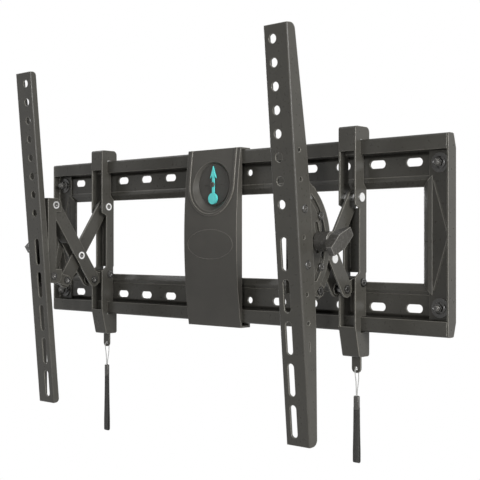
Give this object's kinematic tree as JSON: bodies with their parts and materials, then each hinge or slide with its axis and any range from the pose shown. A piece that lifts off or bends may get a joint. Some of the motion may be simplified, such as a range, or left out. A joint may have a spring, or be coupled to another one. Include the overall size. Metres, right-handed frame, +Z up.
{
  "type": "tv wall mount",
  "caption": "Slotted wall plate with hanging scissor brackets that pull out, tilt and slide sideways, each carrying a drilled upright for a television; pull-cord latches and a level.",
  "frame": {"origin": "centre of the wall plate, on the plane of the wall", "axes": "+X along the wall to the right, +Y into the wall, +Z up"},
  "size_m": [0.66, 0.1512, 0.4862],
  "materials": {
    "charcoal_steel": "fine powder coat",
    "black_plastic": "moulded, satin",
    "cover_plastic": "fine moulded texture",
    "teal_plastic": "gloss",
    "dial_plastic": "satin",
    "spring_steel": "drawn wire",
    "rivet_steel": "zinc-plated, dulled",
    "white_string": "thin braided string",
    "black_strap": "woven strap"
  },
  "bodies": {
    "wall_plate": {"upper_rail": "charcoal_steel", "lower_rail": "charcoal_steel", "left_end_plate": "charcoal_steel", "right_end_plate": "charcoal_steel", "corner_bolts": "charcoal_steel", "corner_washers": "charcoal_steel", "corner_nuts": "charcoal_steel", "centre_cover": "cover_plastic", "level_dial": "dial_plastic", "needle_pin": "charcoal_steel"},
    "level_needle": {"level_needle": "teal_plastic"},
    "left_hook": {"left_hook_bracket": "charcoal_steel", "left_hook_rivets": "rivet_steel", "left_latch_spring": "spring_steel"},
    "left_latch": {"left_latch": "charcoal_steel", "left_pull_string": "white_string", "left_pull_ferrule": "black_plastic", "left_pull_strap": "black_strap"},
    "left_rear_link": {"left_rear_link": "charcoal_steel", "left_rear_link_rivet": "rivet_steel"},
    "left_front_link": {"left_front_link": "charcoal_steel", "left_front_link_rivets": "rivet_steel"},
    "left_rear_rocker": {"left_rear_rocker": "charcoal_steel"},
    "left_front_rocker": {"left_front_rocker": "charcoal_steel"},
    "left_carriage": {"left_carriage": "charcoal_steel", "left_carriage_rivets": "rivet_steel", "left_guide_studs": "rivet_steel", "left_knob_stud": "rivet_steel", "left_knob_washer": "rivet_steel"},
    "left_knob": {"left_tilt_knob": "black_plastic"},
    "left_arm": {"left_tv_arm": "charcoal_steel", "left_tilt_sector": "charcoal_steel", "left_sector_screws": "charcoal_steel"},
    "right_hook": {"right_hook_bracket": "charcoal_steel", "right_hook_rivets": "rivet_steel", "right_latch_spring": "spring_steel"},
    "right_latch": {"right_latch": "charcoal_steel", "right_pull_string": "white_string", "right_pull_ferrule": "black_plastic", "right_pull_strap": "black_strap"},
    "right_rear_link": {"right_rear_link": "charcoal_steel", "right_rear_link_rivet": "rivet_steel"},
    "right_front_link": {"right_front_link": "charcoal_steel", "right_front_link_rivets": "rivet_steel"},
    "right_rear_rocker": {"right_rear_rocker": "charcoal_steel"},
    "right_front_rocker": {"right_front_rocker": "charcoal_steel"},
    "right_carriage": {"right_carriage": "charcoal_steel", "right_carriage_rivets": "rivet_steel", "right_guide_studs": "rivet_steel", "right_knob_stud": "rivet_steel", "right_knob_washer": "rivet_steel"},
    "right_knob": {"right_tilt_knob": "black_plastic"},
    "right_arm": {"right_tv_arm": "charcoal_steel", "right_tilt_sector": "charcoal_steel", "right_sector_screws": "charcoal_steel"}
  },
  "joints": [
    {"name": "left_slide", "type": "slide", "parent": "wall_plate", "child": "left_hook", "axis": [1, 0, 0], "range_m": [-0.06, 0.14]},
    {"name": "left_fold", "type": "hinge", "parent": "left_hook", "child": "left_rear_link", "pos_m": [-0.219, -0.016, 0.0425], "axis": [1, 0, 0], "range_deg": [0, 20]},
    {"name": "left_cross", "type": "hinge", "parent": "left_rear_link", "child": "left_front_link", "pos_m": [-0.219, -0.061, -0.025], "axis": [1, 0, 0], "range_deg": [-40.01, 0]},
    {"name": "left_carry", "type": "hinge", "parent": "left_front_link", "child": "left_carriage", "pos_m": [-0.219, -0.106, 0.0425], "axis": [1, 0, 0], "range_deg": [0, 20.01]},
    {"name": "left_rear_rock", "type": "hinge", "parent": "left_hook", "child": "left_rear_rocker", "pos_m": [-0.219, -0.0125, -0.052], "axis": [1, 0, 0], "range_deg": [0, 48.81]},
    {"name": "left_front_rock", "type": "hinge", "parent": "left_carriage", "child": "left_front_rocker", "pos_m": [-0.219, -0.1095, -0.052], "axis": [1, 0, 0], "range_deg": [-48.81, 0]},
    {"name": "left_tilt", "type": "hinge", "parent": "left_carriage", "child": "left_arm", "pos_m": [-0.219, -0.146, -0.0065], "axis": [1, 0, 0], "range_deg": [-10, 6]},
    {"name": "left_knob_turn", "type": "hinge", "parent": "left_carriage", "child": "left_knob", "pos_m": [-0.219, -0.097, -0.0065], "axis": [1, 0, 0], "range_deg": [0, 180]},
    {"name": "left_latch_pull", "type": "slide", "parent": "left_hook", "child": "left_latch", "axis": [0, 0, -1], "range_m": [0, 0.009], "stiffness_N_per_m": 500, "springref_m": -0.006, "deforming": ["left_latch_spring"]},
    {"name": "right_slide", "type": "slide", "parent": "wall_plate", "child": "right_hook", "axis": [1, 0, 0], "range_m": [-0.14, 0.06]},
    {"name": "right_fold", "type": "hinge", "parent": "right_hook", "child": "right_rear_link", "pos_m": [0.2092, -0.016, 0.0425], "axis": [1, 0, 0], "range_deg": [0, 20]},
    {"name": "right_cross", "type": "hinge", "parent": "right_rear_link", "child": "right_front_link", "pos_m": [0.2092, -0.061, -0.025], "axis": [1, 0, 0], "range_deg": [-40.01, 0]},
    {"name": "right_carry", "type": "hinge", "parent": "right_front_link", "child": "right_carriage", "pos_m": [0.2092, -0.106, 0.0425], "axis": [1, 0, 0], "range_deg": [0, 20.01]},
    {"name": "right_rear_rock", "type": "hinge", "parent": "right_hook", "child": "right_rear_rocker", "pos_m": [0.2092, -0.0125, -0.052], "axis": [1, 0, 0], "range_deg": [0, 48.81]},
    {"name": "right_front_rock", "type": "hinge", "parent": "right_carriage", "child": "right_front_rocker", "pos_m": [0.2092, -0.1095, -0.052], "axis": [1, 0, 0], "range_deg": [-48.81, 0]},
    {"name": "right_tilt", "type": "hinge", "parent": "right_carriage", "child": "right_arm", "pos_m": [0.2092, -0.146, -0.0065], "axis": [1, 0, 0], "range_deg": [-10, 6]},
    {"name": "right_knob_turn", "type": "hinge", "parent": "right_carriage", "child": "right_knob", "pos_m": [0.2092, -0.097, -0.0065], "axis": [1, 0, 0], "range_deg": [0, 180]},
    {"name": "right_latch_pull", "type": "slide", "parent": "right_hook", "child": "right_latch", "axis": [0, 0, -1], "range_m": [0, 0.009], "stiffness_N_per_m": 500, "springref_m": -0.006, "deforming": ["right_latch_spring"]},
    {"name": "needle_swing", "type": "hinge", "parent": "wall_plate", "child": "level_needle", "pos_m": [0, -0.02, 0.065], "axis": [0, 1, 0], "continuous": true}
  ],
  "couplings": [
    {"joint": "left_cross", "follows": "left_fold", "ratio": -2},
    {"joint": "left_carry", "follows": "left_fold", "ratio": 1},
    {"joint": "left_rear_rock", "follows": "left_fold", "ratio": 2.44},
    {"joint": "left_front_rock", "follows": "left_fold", "ratio": -2.44},
    {"joint": "right_cross", "follows": "right_fold", "ratio": -2},
    {"joint": "right_carry", "follows": "right_fold", "ratio": 1},
    {"joint": "right_rear_rock", "follows": "right_fold", "ratio": 2.44},
    {"joint": "right_front_rock", "follows": "right_fold", "ratio": -2.44}
  ]
}
